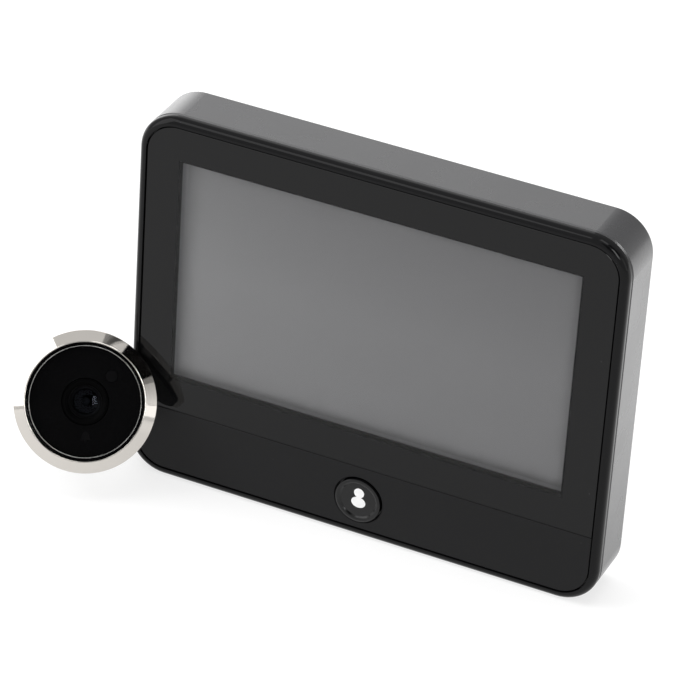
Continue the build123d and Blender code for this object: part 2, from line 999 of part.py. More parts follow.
# Lens: stepped black barrel, domed front glass and the ring that holds it in
lens_barrel_back = lens_barrel_front - lens_barrel_length
glass_back = lens_barrel_front - lens_seat
retainer_back = lens_barrel_front - retainer_height - fit_gap
with BuildPart() as lens_barrel:
    with BuildSketch(section_plane):
        with BuildLine():
            Polyline(
                (lens_bore, lens_barrel_front - retainer_height),
                (lens_bore + retainer_width, lens_barrel_front),
                (lens_barrel_radius, lens_barrel_front),
                (lens_barrel_radius, lens_barrel_back),
                (lens_bore, lens_barrel_back),
                (lens_bore, glass_back - lens_rear_depth),
                (lens_rear_radius, glass_back - lens_rear_depth),
                (lens_rear_radius, glass_back),
                (lens_bore, glass_back),
                close=True,
            )
        make_face()
    revolve(axis=unit_axis)

dome_top = glass_back + lens_edge + lens_dome
lens_radius = lens_bore - fit_gap / 2
with BuildPart() as lens_front:
    with BuildSketch(section_plane):
        with BuildLine():
            Polyline(
                (0, dome_top),
                (0, glass_back),
                (lens_radius, glass_back),
                (lens_radius, glass_back + lens_edge),
            )
            TangentArc(
                (0, dome_top),
                (lens_radius, glass_back + lens_edge),
                tangent=(1, 0),
            )
        make_face()
    revolve(axis=unit_axis)

with BuildPart() as lens_retainer:
    with BuildSketch(section_plane):
        with BuildLine():
            Polyline(
                (lens_radius, glass_back + lens_edge),
                (lens_radius, retainer_back),
                (lens_radius - retainer_width / 2, retainer_back),
                (lens_radius - retainer_width, glass_back + lens_edge + lens_dome),
                close=True,
            )
        make_face()
    revolve(axis=unit_axis)

# Image sensor on its round board, behind the lens
with BuildPart() as camera_board:
    with BuildSketch(unit_plane.offset(lens_barrel_back)):
        Circle(barrel_bore - fit_gap)
    extrude(amount=-camera_board_thickness)

with BuildPart() as image_sensor:
    with BuildSketch(unit_plane.offset(lens_barrel_back)):
        Rectangle(image_sensor_size, image_sensor_size)
    extrude(amount=image_sensor_height)

# Dome switch under the bell push, and the light sensor behind its small window
with BuildPart() as bell_switch:
    with BuildSketch(unit_plane.offset(tray_floor)):
        with Locations((0, bell_switch_y)):
            Circle(bell_switch_radius)
    extrude(amount=bell_switch_height)

with BuildPart() as light_sensor:
    with BuildSketch(unit_plane.offset(tray_floor)):
        with Locations((sensor_lens_x, sensor_lens_y)):
            Rectangle(light_sensor_size, light_sensor_size)
    extrude(amount=bell_switch_height)

# Every piece is written under its own name
pieces = {
    "front_frame": front_frame,
    "glass_panel": glass_panel,
    "chin_panel": chin_panel,
    "display_gasket": display_gasket,
    "display_cell": display_cell,
    "display_backlight": display_backlight,
    "wake_button": wake_button,
    "rear_shell": rear_shell,
    "main_board": main_board,
    "board_screws": board_screws,
    "housing_screws": housing_screws,
    "battery_pack": battery_pack,
    "speaker": speaker,
    "microphone": microphone,
    "wake_switch": wake_switch,
    "side_switch": side_switch,
    "power_key": power_key,
    "usb_socket": usb_socket,
    "card_socket": card_socket,
    "camera_socket": camera_socket,
    "mount_bracket": mount_bracket,
    "bezel_ring": bezel_ring,
    "camera_housing": camera_housing,
    "face_ring": face_ring,
    "bell_push": bell_push,
    "push_trim": push_trim,
    "sensor_lens": sensor_lens,
    "threaded_barrel": threaded_barrel,
    "seal_gasket": seal_gasket,
    "cable_grommet": cable_grommet,
    "lens_barrel": lens_barrel,
    "lens_front": lens_front,
    "lens_retainer": lens_retainer,
    "camera_board": camera_board,
    "image_sensor": image_sensor,
    "bell_switch": bell_switch,
    "light_sensor": light_sensor,
}
for piece_name, piece in pieces.items():
    piece.part.label = piece_name
    export_step(piece.part, f"parts/{piece_name}.step")

print("camera unit at", [round(value, 3) for value in (unit_x, unit_y, unit_z)])
print("camera axis", [round(value, 5) for value in (axis_x, axis_y, axis_z)])
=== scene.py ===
import math

import bmesh
import bpy
from mathutils import Matrix, Vector


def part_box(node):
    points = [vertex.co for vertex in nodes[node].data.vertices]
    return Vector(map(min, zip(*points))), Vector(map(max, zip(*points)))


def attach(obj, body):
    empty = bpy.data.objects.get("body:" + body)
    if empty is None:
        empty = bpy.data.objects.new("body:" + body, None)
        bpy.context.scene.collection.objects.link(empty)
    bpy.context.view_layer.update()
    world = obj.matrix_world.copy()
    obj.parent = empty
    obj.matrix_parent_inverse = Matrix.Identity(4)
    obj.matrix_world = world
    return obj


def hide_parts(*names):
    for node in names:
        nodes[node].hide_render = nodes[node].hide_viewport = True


# Door viewer: slim indoor monitor with the chrome-rimmed camera unit leaning on its front.
# Lengths in the dictionaries are millimetres, unless a note says otherwise.
mm = 0.001

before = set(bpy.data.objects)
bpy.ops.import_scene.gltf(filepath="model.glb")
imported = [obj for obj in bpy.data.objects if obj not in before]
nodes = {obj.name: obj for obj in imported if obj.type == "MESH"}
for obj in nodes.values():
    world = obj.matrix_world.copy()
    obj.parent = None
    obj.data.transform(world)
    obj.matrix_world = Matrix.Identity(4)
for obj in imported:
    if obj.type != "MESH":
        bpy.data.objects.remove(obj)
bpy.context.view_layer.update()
print("frame loaded:", len(nodes), "nodes")

# Camera at the photograph's angle
photoCamera = {
    "place": (316.812, -766.722, 563.794),
    "turn": (57.9644, -3.3498, 25.0324),  # degrees about X, Y and Z
    "lens": 222.39,
    "sensorWidth": 36,
    "clip": (0.01, 20),  # metres
}


def makeCamera(look):
    data = bpy.data.cameras.new("photoCamera")
    data.lens = look["lens"]
    data.sensor_width = look["sensorWidth"]
    data.clip_start, data.clip_end = look["clip"]
    camera = bpy.data.objects.new("photoCamera", data)
    camera.location = Vector(look["place"]) * mm
    camera.rotation_euler = [math.radians(angle) for angle in look["turn"]]
    bpy.context.scene.collection.objects.link(camera)
    bpy.context.scene.camera = camera
    return camera


camera = makeCamera(photoCamera)


# Small helpers for node trees
def addNode(tree, kind, **values):
    node = tree.nodes.new(kind)
    for name, value in values.items():
        setattr(node, name, value)
    return node


def link(tree, source, target):
    tree.links.new(source, target)


# A maths node whose two values are sockets or plain numbers
def calculate(tree, operation, first, second):
    node = addNode(tree, "ShaderNodeMath", operation=operation)
    for value, socket in zip((first, second), node.inputs):
        if isinstance(value, bpy.types.NodeSocket):
            link(tree, value, socket)
        else:
            socket.default_value = value
    return node.outputs[0]


def mixShaders(tree, share, first, second):
    mix = addNode(tree, "ShaderNodeMixShader")
    link(tree, share, mix.inputs["Fac"])
    link(tree, first, mix.inputs[1])
    link(tree, second, mix.inputs[2])
    return mix.outputs["Shader"]


def startMaterial(name):
    material = bpy.data.materials.new(name)
    material.use_nodes = True
    material.node_tree.nodes.clear()
    return material, material.node_tree


def objectPoint(tree, scale=(1, 1, 1)):
    point = addNode(tree, "ShaderNodeTexCoord").outputs["Object"]
    if tuple(scale) == (1, 1, 1):
        return point
    mapping = addNode(tree, "ShaderNodeMapping")
    mapping.inputs["Scale"].default_value = scale
    link(tree, point, mapping.inputs["Vector"])
    return mapping.outputs["Vector"]


# Noise whose grain is given as the size of one feature, in millimetres
def noise(tree, size, detail=3.0, stretch=(1, 1, 1)):
    texture = addNode(tree, "ShaderNodeTexNoise")
    texture.inputs["Scale"].default_value = 1 / (size * mm)
    texture.inputs["Detail"].default_value = detail
    link(tree, objectPoint(tree, stretch), texture.inputs["Vector"])
    return texture.outputs["Fac"]


# A value's range spread over another; most of a noise lies between 0.3 and 0.7
def spread(tree, value, low, high, fromLow=0.3, fromHigh=0.7):
    ranged = addNode(tree, "ShaderNodeMapRange")
    ranged.inputs["From Min"].default_value = fromLow
    ranged.inputs["From Max"].default_value = fromHigh
    ranged.inputs["To Min"].default_value = low
    ranged.inputs["To Max"].default_value = high
    link(tree, value, ranged.inputs["Value"])
    return ranged.outputs["Result"]


# Two colours or colour sockets mixed; inputs 6 and 7 and output 2 are the node's colours
def blendColours(tree, factor, first, second):
    mix = addNode(tree, "ShaderNodeMix", data_type="RGBA")
    link(tree, factor, mix.inputs["Factor"])
    for socket, colour in ((mix.inputs[6], first), (mix.inputs[7], second)):
        if isinstance(colour, bpy.types.NodeSocket):
            link(tree, colour, socket)
        else:
            socket.default_value = (*colour, 1)
    return mix.outputs[2]


def shaded(colour, share):
    return tuple(min(1.0, part * share) for part in colour)


# Scattered round specks: how many cells a metre has, and where in a cell they fade out
def specks(tree, scale, fade, cover=1):
    cells = addNode(tree, "ShaderNodeTexVoronoi")
    cells.inputs["Scale"].default_value = scale
    link(tree, objectPoint(tree), cells.inputs["Vector"])
    return spread(tree, cells.outputs["Distance"], cover, 0, *fade)


def dustSpecks(tree, look, cover=1):
    return specks(tree, 1 / (look["dustPitch"] * mm), (0, look["dustShare"]), cover)


# A colour that wanders a little to either side of its own
def mottled(tree, look):
    base, mottle = look["colour"], look["mottle"]
    wander = noise(tree, look["mottleSize"])
    return blendColours(tree, wander, shaded(base, 1 - mottle), shaded(base, 1 + mottle))


def endMaterial(tree, shader):
    output = addNode(tree, "ShaderNodeOutputMaterial")
    link(tree, shader, output.inputs["Surface"])


# What a finish has where its own entry says nothing; sizes in millimetres
plainFinish = {
    "mottle": 0.12,
    "mottleSize": 9,
    "roughSize": 4,
    "stretch": (1, 1, 1),
    "grain": 0.35,
    "grainStrength": 0.3,
    "grainHeight": 0.01,
}
finishSockets = {
    "metallic": "Metallic",
    "ior": "IOR",
    "specular": "Specular IOR Level",
    "coat": "Coat Weight",
}


# One Principled finish: its colour, uneven gloss and a fine grain, all on the piece
def makeFinish(name, ownLook, colour=mottled):
    look = {**plainFinish, **ownLook}
    material, tree = startMaterial(name)
    shader = addNode(tree, "ShaderNodeBsdfPrincipled")
    link(tree, colour(tree, look), shader.inputs["Base Color"])
    rough = noise(tree, look["roughSize"], 4, look["stretch"])
    link(tree, spread(tree, rough, *look["roughness"]), shader.inputs["Roughness"])
    bump = addNode(tree, "ShaderNodeBump")
    bump.inputs["Strength"].default_value = look["grainStrength"]
    bump.inputs["Distance"].default_value = look["grainHeight"] * mm
    link(tree, noise(tree, look["grain"], 2, look["stretch"]), bump.inputs["Height"])
    link(tree, bump.outputs["Normal"], shader.inputs["Normal"])
    for key, socket in finishSockets.items():
        if key in look:
            shader.inputs[socket].default_value = look[key]
    endMaterial(tree, shader.outputs["BSDF"])
    return material


finishes = {
    "caseSatin": {
        "colour": (0.026, 0.026, 0.028),
        "roughness": (0.25, 0.29),
        "roughSize": 11,
        "grain": 0.22,
        "grainHeight": 0.006,
        "mottle": 0.08,
        "mottleSize": 14,
        "ior": 1.68,
    },
    "frameGloss": {
        "colour": (0.004, 0.004, 0.0044),
        "roughness": (0.06, 0.10),
        "grain": 0.5,
        "grainHeight": 0.002,
        "mottle": 0.1,
        "mottleSize": 20,
        "ior": 1.26,
    },
    "buttonSatin": {
        "colour": (0.0035, 0.0035, 0.0038),
        "roughness": (0.15, 0.20),
        "grain": 0.2,
        "grainHeight": 0.004,
        "mottle": 0.1,
        "ior": 1.40,
    },
    "foam": {
        "colour": (0.015, 0.015, 0.015),
        "roughness": (0.85, 0.95),
        "grain": 0.3,
        "grainHeight": 0.08,
        "grainStrength": 0.8,
    },
    "zincSteel": {
        "colour": (0.42, 0.42, 0.43),
        "metallic": 1.0,
        "roughness": (0.26, 0.42),
        "grain": 0.5,
        "grainHeight": 0.01,
        "stretch": (1, 1, 9),
        "mottle": 0.08,
        "mottleSize": 5,
    },
    "screwSteel": {
        "colour": (0.30, 0.30, 0.31),
        "metallic": 1.0,
        "roughness": (0.24, 0.36),
        "grain": 0.2,
        "grainHeight": 0.006,
        "mottle": 0.15,
        "mottleSize": 1.5,
    },
    "switchPlastic": {
        "colour": (0.020, 0.020, 0.021),
        "roughness": (0.45, 0.6),
        "grain": 0.2,
        "grainHeight": 0.01,
    },
    "plated": {
        "colour": (0.62, 0.61, 0.59),
        "metallic": 1.0,
        "roughness": (0.20, 0.30),
        "grain": 0.3,
        "grainHeight": 0.004,
        "mottle": 0.06,
        "mottleSize": 2,
    },
    "nylon": {
        "colour": (0.66, 0.64, 0.58),
        "roughness": (0.42, 0.55),
        "grain": 0.3,
        "grainHeight": 0.008,
        "mottle": 0.05,
    },
    "chrome": {
        "colour": (0.65, 0.62, 0.58),
        "metallic": 1.0,
        "roughness": (0.035, 0.075),
        "roughSize": 1.2,
        "grain": 0.45,
        "grainHeight": 0.0025,
        "grainStrength": 0.5,
        "mottle": 0.015,
        "mottleSize": 3,
    },
    "faceGloss": {
        "colour": (0.0027, 0.0027, 0.0029),
        "roughness": (0.05, 0.08),
        "grain": 0.8,
        "grainHeight": 0.0005,
        "mottle": 0.2,
        "ior": 1.32,
    },
    "trimBright": {
        "colour": (0.90, 0.89, 0.87),
        "metallic": 1.0,
        "roughness": (0.22, 0.28),
        "grain": 0.2,
        "grainHeight": 0.002,
        "mottle": 0.05,
    },
    "lensHousing": {
        "colour": (0.0009, 0.0009, 0.001),
        "roughness": (0.38, 0.5),
        "grain": 0.2,
        "grainHeight": 0.006,
        "specular": 0.02,
    },
    "sealRubber": {
        "colour": (0.020, 0.020, 0.021),
        "roughness": (0.6, 0.75),
        "grain": 0.35,
        "grainHeight": 0.02,
        "grainStrength": 0.5,
    },
    "printedBlack": {
        "colour": (0.0030, 0.0030, 0.0033),
        "roughness": (0.5, 0.6),
        "grain": 0.15,
        "grainHeight": 0.002,
        "specular": 0.0,
    },
    "printedWhite": {
        "colour": (0.90, 0.90, 0.90),
        "roughness": (0.45, 0.6),
        "grain": 0.12,
        "grainHeight": 0.006,
        "mottle": 0.04,
        "mottleSize": 1.2,
    },
    "printedGrey": {
        "colour": (0.0042, 0.0042, 0.0045),
        "roughness": (0.4, 0.5),
        "specular": 0.0,
        "grain": 0.12,
        "grainHeight": 0.004,
        "mottle": 0.2,
        "mottleSize": 0.8,
    },
    "gold": {
        "colour": (0.72, 0.50, 0.18),
        "metallic": 1.0,
        "roughness": (0.2, 0.32),
        "grain": 0.2,
        "grainHeight": 0.003,
    },
}
materials = {name: makeFinish(name, look) for name, look in finishes.items()}

# The chin's matt paint, with sparse fine dust
chinPaint = {
    "colour": (0.0075, 0.0075, 0.008),
    "mottle": 0.08,
    "mottleSize": 11,
    "roughness": (0.34, 0.42),
    "grain": 0.2,
    "grainHeight": 0.006,
    "ior": 1.26,
    "dust": (0.05, 0.05, 0.055),
    "dustPitch": 7.0,
    "dustShare": 0.035,
}


def chinColour(tree, look):
    return blendColours(tree, dustSpecks(tree, look), mottled(tree, look), look["dust"])


materials["chinPaint"] = makeFinish("chinPaint", chinPaint, chinColour)


# One inside a window of the X-Z plane and zero outside it; edges are left, right, bottom, top
def insideWindow(tree, edges, softness):
    place = addNode(tree, "ShaderNodeSeparateXYZ")
    link(tree, objectPoint(tree), place.inputs["Vector"])
    left, right, bottom, top = edges
    inside = 1
    for axis, edge, sign in (("X", left, 1), ("X", right, -1), ("Z", bottom, 1), ("Z", top, -1)):
        soft = softness * sign
        past = spread(tree, place.outputs[axis], 0, 1, (edge - soft) * mm, (edge + soft) * mm)
        inside = calculate(tree, "MULTIPLY", inside, past)
    return inside


# Clear glass: a faint sharp reflection over a clear pane, with a few specks of dust. Where a
# clear window is given, the glass outside it is black.
def makeClearGlass(name, look):
    material, tree = startMaterial(name)
    clear = addNode(tree, "ShaderNodeBsdfTransparent")
    slant = addNode(tree, "ShaderNodeLayerWeight").outputs["Facing"]
    through = spread(tree, slant, 0, 1, *look["slant"])
    dimmed = blendColours(tree, through, look["tint"], shaded(look["tint"], look["slantShare"]))
    link(tree, dimmed, clear.inputs["Color"])
    gloss = addNode(tree, "ShaderNodeBsdfAnisotropic")
    gloss.inputs["Color"].default_value = (*look["reflection"], 1)
    rough = spread(tree, noise(tree, look["smudgeSize"], 4), *look["roughness"])
    link(tree, rough, gloss.inputs["Roughness"])
    fresnel = addNode(tree, "ShaderNodeFresnel")
    fresnel.inputs["IOR"].default_value = look["ior"]
    back = addNode(tree, "ShaderNodeNewGeometry").outputs["Backfacing"]
    outer = calculate(tree, "SUBTRACT", 1, back)
    share = calculate(tree, "MULTIPLY", fresnel.outputs["Fac"], outer)
    pane = mixShaders(tree, share, clear.outputs["BSDF"], gloss.outputs["BSDF"])
    if "clearWindow" in look:
        border = addNode(tree, "ShaderNodeBsdfPrincipled")
        border.inputs["Base Color"].default_value = (*look["borderColour"], 1)
        border.inputs["IOR"].default_value = look["ior"]
        link(tree, rough, border.inputs["Roughness"])
        window = insideWindow(tree, look["clearWindow"], look["windowSoftness"])
        pane = mixShaders(tree, window, border.outputs["BSDF"], pane)
    dust = addNode(tree, "ShaderNodeBsdfDiffuse")
    dust.inputs["Color"].default_value = (*look["dust"], 1)
    dusty = calculate(tree, "MULTIPLY", dustSpecks(tree, look, look["dustCover"]), outer)
    endMaterial(tree, mixShaders(tree, dusty, pane, dust.outputs["BSDF"]))
    return material


coverGlass = {
    "tint": (0.94, 0.94, 0.94),
    "reflection": (1, 1, 1),
    "ior": 1.34,
    "roughness": (0.012, 0.03),
    "smudgeSize": 16,
    "dust": (0.4, 0.4, 0.42),
    "dustPitch": 9.0,
    "dustShare": 0.02,
    "dustCover": 0.5,
    "slant": (0.5, 0.78),
    "slantShare": 0.06,
    # Left, right, bottom, top: wider than the print's window, so that the print's edges show
    "clearWindow": (-49.1, 49.1, 27.2, 84.8),
    "windowSoftness": 0.01,
    "borderColour": (0.0030, 0.0030, 0.0033),
}
lensGlass = {
    "tint": (0.55, 0.57, 0.60),
    "reflection": (0.30, 0.33, 0.40),
    "ior": 1.30,
    "roughness": (0.01, 0.02),
    "smudgeSize": 4,
    "dust": (0.4, 0.4, 0.42),
    "dustPitch": 4.0,
    "dustShare": 0.02,
    "dustCover": 0.2,
    "slant": (0.6, 0.9),
    "slantShare": 0.3,
}
materials["coverGlass"] = makeClearGlass("coverGlass", coverGlass)
materials["lensGlass"] = makeClearGlass("lensGlass", lensGlass)

# Unlit display: a grey area with painted shade, darker to the right and to the top, inside an even
# edge
displayLook = {
    "active": (-48.15, 48.15, 27.55, 83.4),  # left, right, bottom, top
    "paintedLitColour": (0.277, 0.277, 0.284),
    "paintedShadeColour": (0.195, 0.195, 0.201),
    "edgeColour": (0.270, 0.270, 0.276),
    "paintedTopShade": 0.76,
    "falloff": 0.5,
    "edgeSoftness": 0.12,
    "roughness": (0.5, 0.6),
    "grain": 0.12,
    "grainHeight": 0.004,
}


def displayColour(tree, look):
    place = addNode(tree, "ShaderNodeSeparateXYZ")
    link(tree, objectPoint(tree), place.inputs["Vector"])
    left, right, bottom, top = look["active"]
    inside = insideWindow(tree, look["active"], look["edgeSoftness"])
    # Painted shade: the grey falls off from left to right, and darkens from the middle to the top
    across = spread(tree, place.outputs["X"], 0, 1, left * mm, right * mm)
    fall = calculate(tree, "POWER", across, look["falloff"])
    active = blendColours(tree, fall, look["paintedLitColour"], look["paintedShadeColour"])
    middle = (bottom + top) / 2
    shade = spread(tree, place.outputs["Z"], 1, look["paintedTopShade"], middle * mm, top * mm)
    shadedArea = addNode(tree, "ShaderNodeVectorMath", operation="SCALE")
    link(tree, active, shadedArea.inputs[0])
    link(tree, shade, shadedArea.inputs["Scale"])
    return blendColours(tree, inside, look["edgeColour"], shadedArea.outputs[0])


materials["displayGrey"] = makeFinish("displayGrey", displayLook, displayColour)

# Circuit board: solder mask with traces and pads; scales are repeats a metre
boardLook = {
    "colour": (0.02, 0.10, 0.045),
    "lighter": 1.2,
    "trace": (0.05, 0.19, 0.09),
    "traceScale": 160,
    "traceWidth": 0.03,
    "pad": (0.45, 0.40, 0.22),
    "padScale": 300,
    "padFade": (0.12, 0.16),
    "roughness": (0.28, 0.4),
    "grain": 0.3,
    "coat": 0.3,
}


def boardColour(tree, look):
    bricks = addNode(tree, "ShaderNodeTexBrick")
    bricks.inputs["Scale"].default_value = look["traceScale"]
    bricks.inputs["Mortar Size"].default_value = look["traceWidth"]
    bricks.inputs["Color1"].default_value = (*look["colour"], 1)
    bricks.inputs["Color2"].default_value = (*shaded(look["colour"], look["lighter"]), 1)
    bricks.inputs["Mortar"].default_value = (*look["trace"], 1)
    turned = addNode(tree, "ShaderNodeMapping")
    turned.inputs["Rotation"].default_value = (math.pi / 2, 0, 0)
    link(tree, objectPoint(tree), turned.inputs["Vector"])
    link(tree, turned.outputs["Vector"], bricks.inputs["Vector"])
    pads = specks(tree, look["padScale"], look["padFade"])
    return blendColours(tree, pads, bricks.outputs["Color"], look["pad"])


materials["boardGreen"] = makeFinish("boardGreen", boardLook, boardColour)

# Battery pouch: crinkled foil
pouchLook = {
    "colour": (0.55, 0.56, 0.58),
    "metallic": 0.9,
    "roughness": (0.28, 0.42),
    "grain": 2.5,
    "grainHeight": 0.12,
    "grainStrength": 0.5,
    "mottle": 0.08,
}
materials["pouchFoil"] = makeFinish("pouchFoil", pouchLook)
print("materials made:", len(materials))

# Every CAD node's finish
nodeFinish = {
    "front_frame": "frameGloss",
    "glass_panel": "coverGlass",
    "chin_panel": "chinPaint",
    "display_gasket": "foam",
    "display_cell": "displayGrey",
    "display_backlight": "zincSteel",
    "wake_button": "buttonSatin",
    "rear_shell": "caseSatin",
    "main_board": "boardGreen",
    "board_screws": "screwSteel",
    "housing_screws": "screwSteel",
    "battery_pack": "pouchFoil",
    "speaker": "switchPlastic",
    "microphone": "plated",
    "wake_switch": "switchPlastic",
    "side_switch": "switchPlastic",
    "power_key": "caseSatin",
    "usb_socket": "plated",
    "card_socket": "plated",
    "camera_socket": "nylon",
    "mount_bracket": "zincSteel",
    "bezel_ring": "chrome",
    "camera_housing": "lensHousing",
    "face_ring": "faceGloss",
    "bell_push": "faceGloss",
    "push_trim": "trimBright",
    # The sensor lens takes the faint print grey as painted highlight, standing in for the light
    # arcs at its rim
    "sensor_lens": "printedGrey",
    "threaded_barrel": "chrome",
    "seal_gasket": "sealRubber",
    "cable_grommet": "sealRubber",
    "lens_barrel": "lensHousing",
    "lens_front": "lensGlass",
    "lens_retainer": "faceGloss",
    "camera_board": "boardGreen",
    "image_sensor": "switchPlastic",
    "bell_switch": "plated",
    "light_sensor": "switchPlastic",
}
for nodeName, finish in nodeFinish.items():
    slots = nodes[nodeName].data.materials
    slots.clear()
    slots.append(materials[finish])


# A new piece from a mesh, with its finish and body
def makePiece(name, mesh, finish, body):
    mesh.materials.clear()
    mesh.materials.append(materials[finish])
    piece = bpy.data.objects.new(name, mesh)
    bpy.context.scene.collection.objects.link(piece)
    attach(piece, body)
    return piece


def meshFrom(name, build):
    mesh = bpy.data.meshes.new(name)
    work = bmesh.new()
    build(work)
    bmesh.ops.recalc_face_normals(work, faces=work.faces)
    work.to_mesh(mesh)
    work.free()
    return mesh


# A flat outline as a closed curve spline, from points in millimetres
def outlineMesh(name, outlines, thickness):
    data = bpy.data.curves.new(name, "CURVE")
    data.dimensions = "2D"
    data.fill_mode = "BOTH"
    data.extrude = thickness * mm / 2
    for points in outlines:
        spline = data.splines.new("POLY")
        spline.points.add(len(points) - 1)
        for target, (x, y) in zip(spline.points, points):
            target.co = (x * mm, y * mm, 0, 1)
        spline.use_cyclic_u = True
    holder = bpy.data.objects.new(name, data)
    mesh = bpy.data.meshes.new_from_object(holder)
    bpy.data.objects.remove(holder)
    bpy.data.curves.remove(data)
    return mesh


def roundedCorner(x, y, radius, start, steps=12):
    points = []
    for step in range(steps + 1):
        angle = math.radians(start + 90 * step / steps)
        points.append((x + radius * math.cos(angle), y + radius * math.sin(angle)))
    return points


# Black print in the cover glass, near its back, with the window left clear
borderPrint = {
    "window": (-48.5, 48.5, 27.8, 84.2),  # left, right, bottom, top
    "margin": 0.12,
    "cornerRadius": 7.13,
    "fromBack": 0.37,
    "thickness": 0.02,
}


def makeBorderPrint(look):
    low, high = (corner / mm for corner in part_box("glass_panel"))
    margin = look["margin"]
    left, right = low.x + margin, high.x - margin
    bottom, top = low.z + margin, high.z - margin
    radius = look["cornerRadius"]
    outer = [(right, bottom)]
    outer += roundedCorner(right - radius, top - radius, radius, 0)
    outer += roundedCorner(left + radius, top - radius, radius, 90)
    outer += [(left, bottom)]
    start, end, sill, head = look["window"]
    window = [(start, sill), (end, sill), (end, head), (start, head)]
    mesh = outlineMesh("border_print", [outer, window], look["thickness"])
    depth = high.y - look["fromBack"]
    mesh.transform(Matrix.Translation((0, depth * mm, 0)) @ Matrix.Rotation(math.pi / 2, 4, "X"))
    return makePiece("border_print", mesh, "printedBlack", "monitor")


makeBorderPrint(borderPrint)


# How far a ray from the middle of a blob goes before it leaves an ellipse
def reach(angle, start, centre, half):
    dx, dy = math.cos(angle) / half[0], math.sin(angle) / half[1]
    px, py = (start[0] - centre[0]) / half[0], (start[1] - centre[1]) / half[1]
    a = dx * dx + dy * dy
    b = px * dx + py * dy
    c = px * px + py * py - 1
    inside = b * b - a * c
    return 0 if inside < 0 else (-b + math.sqrt(inside)) / a


# A thin printed blob: rings of points round its middle, lifted on to a surface
def printedBlob(work, rim, middle, surface, lift, rings=6):
    layers = []
    for height in (lift, -lift):
        rows = []
        for ring in range(1, rings + 1):
            share = ring / rings
            rows.append(
                [
                    work.verts.new(
                        surface(
                            middle[0] + (x - middle[0]) * share,
                            middle[1] + (y - middle[1]) * share,
                            height,
                        )
                    )
                    for x, y in rim
                ]
            )
        hub = work.verts.new(surface(*middle, height))
        layers.append((hub, rows))
    count = len(rim)
    for hub, rows in layers:
        for index in range(count):
            after = (index + 1) % count
            work.faces.new((hub, rows[0][index], rows[0][after]))
            for inner, outer in zip(rows, rows[1:]):
                work.faces.new((inner[index], outer[index], outer[after], inner[after]))
    for index in range(count):
        after = (index + 1) % count
        top, bottom = layers[0][1][-1], layers[1][1][-1]
        work.faces.new((top[index], bottom[index], bottom[after], top[after]))


# White visitor sign in the wake button's dish
visitorSign = {
    "head": (0.14, 1.92, 1.26, 1.26),  # middle across and up, then half width and half height
    "shoulders": (0.1, -0.58, 1.78, 1.42),
    "middle": (0.12, 0.75),
    "dishDepth": 0.45,
    "lift": 0.02,
    "points": 72,
}


def makeVisitorSign(look):
    low, high = (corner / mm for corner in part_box("wake_button"))
    middle = (low + high) / 2

    def surface(x, z, height):
        place = (middle.x + x, low.y + look["dishDepth"] - height, middle.z + z)
        return Vector(place) * mm

    rim = []
    for step in range(look["points"]):
        angle = 2 * math.pi * step / look["points"]
        distance = max(
            reach(angle, look["middle"], blob[:2], blob[2:])
            for blob in (look["head"], look["shoulders"])
        )
        rim.append(
            (
                look["middle"][0] + distance * math.cos(angle),
                look["middle"][1] + distance * math.sin(angle),
            )
        )
    mesh = meshFrom(
        "visitor_sign",
        lambda work: printedBlob(work, rim, look["middle"], surface, look["lift"]),
    )
    return makePiece("visitor_sign", mesh, "printedWhite", "wake_button")


makeVisitorSign(visitorSign)

# The camera unit's own frame: level, up and out along its axis
unitFrame = {
    "centre": (-64.8, -19.1615, 22.2224),
    "azimuth": 23.5,
    "elevation": 31.0,
}


def unitMatrix(look):
    azimuth, elevation = math.radians(look["azimuth"]), math.radians(look["elevation"])
    out = Vector(
        (
            math.sin(azimuth) * math.cos(elevation),
            -math.cos(azimuth) * math.cos(elevation),
            math.sin(elevation),
        )
    )
    level = Vector((math.cos(azimuth), math.sin(azimuth), 0))
    up = out.cross(level)
    matrix = Matrix((level, up, out)).transposed().to_4x4()
    matrix.translation = Vector(look["centre"]) * mm
    return matrix


toUnit = unitMatrix(unitFrame)

# Faint bell sign near the push's lower edge
bellSign = {
    "middle": (0.6, -8.0),
    "outline": (
        (-1.25, -0.75),
        (-0.95, -0.35),
        (-0.85, 0.35),
        (-0.45, 0.95),
        (-0.12, 1.1),
        (-0.12, 1.3),
        (0.12, 1.3),
        (0.12, 1.1),
        (0.45, 0.95),
        (0.85, 0.35),
        (0.95, -0.35),
        (1.25, -0.75),
        (0.3, -0.8),
        (0.2, -1.1),
        (-0.2, -1.1),
        (-0.3, -0.8),
    ),
    "innerRadius": 5.5,
    "innerHeight": 0.63,
    "outerRadius": 12.85,
    "outerHeight": 0.75,
    "lift": 0.012,
}


def makeBellSign(look):
    rise = (look["outerHeight"] - look["innerHeight"]) / (look["outerRadius"] - look["innerRadius"])

    def surface(x, y, height):
        radius = math.hypot(x, y)
        out = look["innerHeight"] + (radius - look["innerRadius"]) * rise + height
        return toUnit @ (Vector((x, y, out)) * mm)

    rim = [(look["middle"][0] + x, look["middle"][1] + y) for x, y in look["outline"]]
    mesh = meshFrom(
        "bell_sign",
        lambda work: printedBlob(work, rim, look["middle"], surface, look["lift"], 3),
    )
    return makePiece("bell_sign", mesh, "printedGrey", "bell_push")


makeBellSign(bellSign)


# A closed turned shape about the unit's axis, from (radius, height) points
def turnedMesh(name, profile, segments=96):
    def build(work):
        rings = []
        for step in range(segments):
            angle = 2 * math.pi * step / segments
            rings.append(
                [
                    work.verts.new(
                        toUnit @ (Vector((r * math.cos(angle), r * math.sin(angle), a)) * mm)
                    )
                    for r, a in profile
                ]
            )
        for first, second in zip(rings, rings[1:] + rings[:1]):
            for index in range(len(profile)):
                after = (index + 1) % len(profile)
                work.faces.new((first[index], first[after], second[after], second[index]))

    return meshFrom(name, build)


